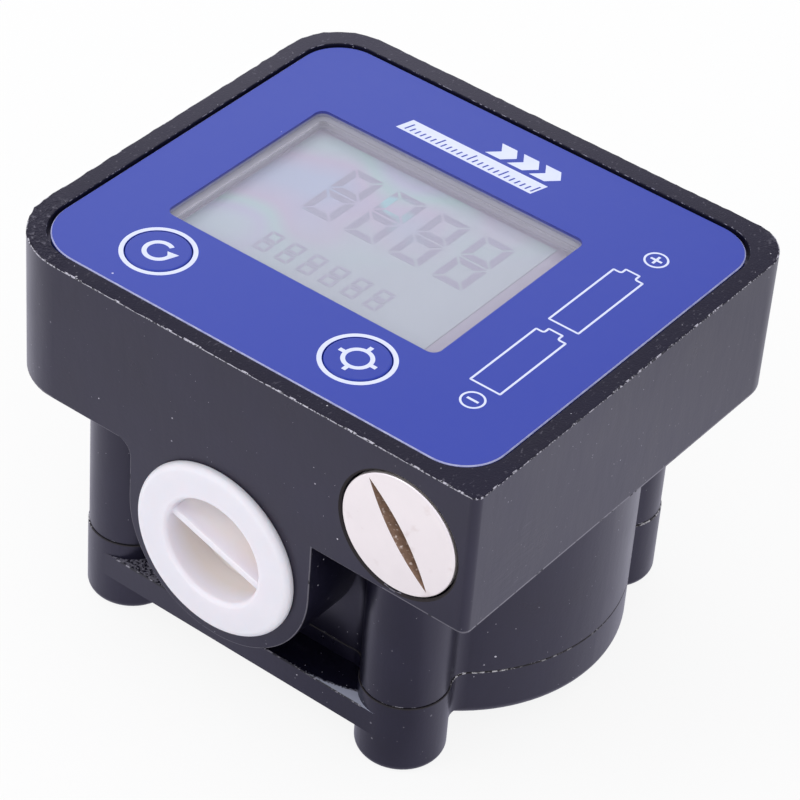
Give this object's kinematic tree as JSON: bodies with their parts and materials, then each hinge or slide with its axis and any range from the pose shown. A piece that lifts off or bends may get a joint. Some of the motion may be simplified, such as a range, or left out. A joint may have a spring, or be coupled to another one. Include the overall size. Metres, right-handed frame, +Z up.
{
  "type": "oval gear flow meter",
  "caption": "Battery powered in-line oval gear flow meter: black die-cast body with a display head, two press buttons, capped inlet port and slotted battery plug.",
  "frame": {"origin": "bottom centre of the whole part, level with the undersides of its four feet", "axes": "+Z up, out of the display; -Y is the side with the capped port and the battery plug, +Y the side with the open port; +X is the viewer's right when the buttons face the viewer"},
  "size_m": [0.09, 0.0816, 0.0664],
  "materials": {
    "black_paint": "black semi-gloss powder paint on a zinc and aluminium die casting",
    "seal_rubber": "moulded nitrile rubber",
    "zinc_steel": "zinc plated steel",
    "ground_steel": "ground steel",
    "gear_plastic": "glass filled moulded plastic",
    "carbon": "carbon filled bush material",
    "magnet": "nickel plated magnets",
    "blue_print": "satin polycarbonate with blue and white print",
    "clear_pane": "clear polycarbonate",
    "lcd": "reflective liquid crystal cell, grey green",
    "frame_grey": "moulded grey frame",
    "board": "green solder resist on glass fibre",
    "chip": "moulded epoxy",
    "sensor_glass": "glass tube of a reed switch",
    "white_plastic": "moulded white plastic",
    "sleeve": "thin insulating tube",
    "cell_jacket": "printed battery jacket, left plain",
    "contact_nickel": "nickel plated spring steel",
    "plug_nickel": "matt nickel plated brass",
    "cap_nylon": "milky white nylon"
  },
  "bodies": {
    "housing": {"meter_body": "black_paint", "bottom_cover": "black_paint", "chamber_seal": "seal_rubber", "cover_screws": "zinc_steel", "screw_washers": "zinc_steel", "gear_shafts": "ground_steel", "front_panel": "blue_print", "panel_gasket": "seal_rubber", "display_window": "clear_pane", "lcd_frame": "frame_grey", "lcd_glass": "lcd", "contact_strips": "seal_rubber", "circuit_board": "board", "board_screws": "zinc_steel", "controller_chip": "chip", "quartz_can": "zinc_steel", "pulse_sensor": "sensor_glass", "key_switches": "chip", "battery_sleeve": "sleeve", "battery_front": "cell_jacket", "battery_rear": "cell_jacket", "rear_contact": "contact_nickel"},
    "left_rotor": {"left_gear": "gear_plastic", "left_bush": "carbon", "gear_magnets": "magnet"},
    "right_rotor": {"right_gear": "gear_plastic", "right_bush": "carbon"},
    "reset_key": {"reset_button": "blue_print", "reset_plunger": "white_plastic"},
    "cal_key": {"cal_button": "blue_print", "cal_plunger": "white_plastic"},
    "plug_ring": {"battery_plug_seal": "seal_rubber"},
    "plug": {"battery_plug": "plug_nickel", "battery_spring": "contact_nickel"},
    "cap": {"port_cap": "cap_nylon"}
  },
  "joints": [
    {"name": "left_gear_spin", "type": "hinge", "parent": "housing", "child": "left_rotor", "pos_m": [-0.016, 0.0008, 0.0254], "axis": [0, 0, 1], "continuous": true},
    {"name": "right_gear_spin", "type": "hinge", "parent": "housing", "child": "right_rotor", "pos_m": [0.016, 0.0008, 0.0254], "axis": [0, 0, 1], "continuous": true},
    {"name": "reset_press", "type": "slide", "parent": "housing", "child": "reset_key", "axis": [0, 0, -1], "range_m": [0, 0.0005], "stiffness_N_per_m": 2500, "springref_m": -0.0003},
    {"name": "cal_press", "type": "slide", "parent": "housing", "child": "cal_key", "axis": [0, 0, -1], "range_m": [0, 0.0005], "stiffness_N_per_m": 2500, "springref_m": -0.0003},
    {"name": "plug_travel", "type": "slide", "parent": "housing", "child": "plug_ring", "axis": [0, -1, 0], "range_m": [0, 0.00525]},
    {"name": "plug_turn", "type": "hinge", "parent": "plug_ring", "child": "plug", "pos_m": [0.03225, -0.0392, 0.0527], "axis": [0, -1, 0], "range_deg": [0, 1248]},
    {"name": "cap_pull", "type": "slide", "parent": "housing", "child": "cap", "axis": [0, -1, 0], "range_m": [0, 0.02]}
  ],
  "couplings": [
    {"joint": "right_gear_spin", "follows": "left_gear_spin", "ratio": -1},
    {"joint": "plug_travel", "follows": "plug_turn", "m_per_rad": 0.00023873}
  ]
}
